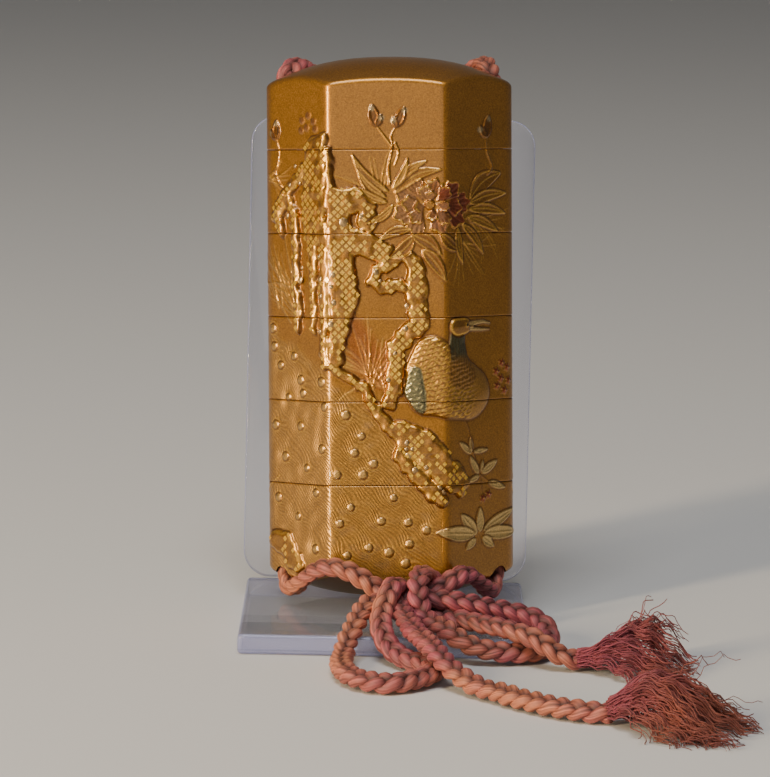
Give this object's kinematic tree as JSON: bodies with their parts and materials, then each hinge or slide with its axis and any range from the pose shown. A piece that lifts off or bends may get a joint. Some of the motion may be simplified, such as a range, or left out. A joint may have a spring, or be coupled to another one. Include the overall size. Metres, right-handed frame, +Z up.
{
  "type": "inro case on stand",
  "caption": "Eight-sided stacking inro with a domed lid and gold lacquer relief, tied with a braided cord in a bow, leaning on a clear L-shaped stand.",
  "frame": {"origin": "on the table, at the bottom centre of the stand and inro together, without the cord", "axes": "+Z up, front faces -Y, +X to the right seen from the front"},
  "size_m": [0.0809, 0.1058, 0.0935],
  "materials": {
    "gold_lacquer": "satin gold lacquer with raised gold and coloured relief over wood",
    "clear_acrylic": "clear polished acrylic sheet",
    "braided_silk": "braided satin silk cord, dusty terracotta pink",
    "frayed_silk": "loose silk threads of the unravelled cord ends"
  },
  "bodies": {
    "root": {"case_bottom": "gold_lacquer", "case_second": "gold_lacquer", "case_third": "gold_lacquer", "case_fourth": "gold_lacquer", "case_top": "gold_lacquer", "lid": "gold_lacquer", "stand_base": "clear_acrylic", "stand_back": "clear_acrylic", "cord_over_lid": "braided_silk", "cord_left_end": "braided_silk", "cord_right_end": "braided_silk", "tassel_front": "frayed_silk", "tassel_rear": "frayed_silk"}
  },
  "joints": []
}
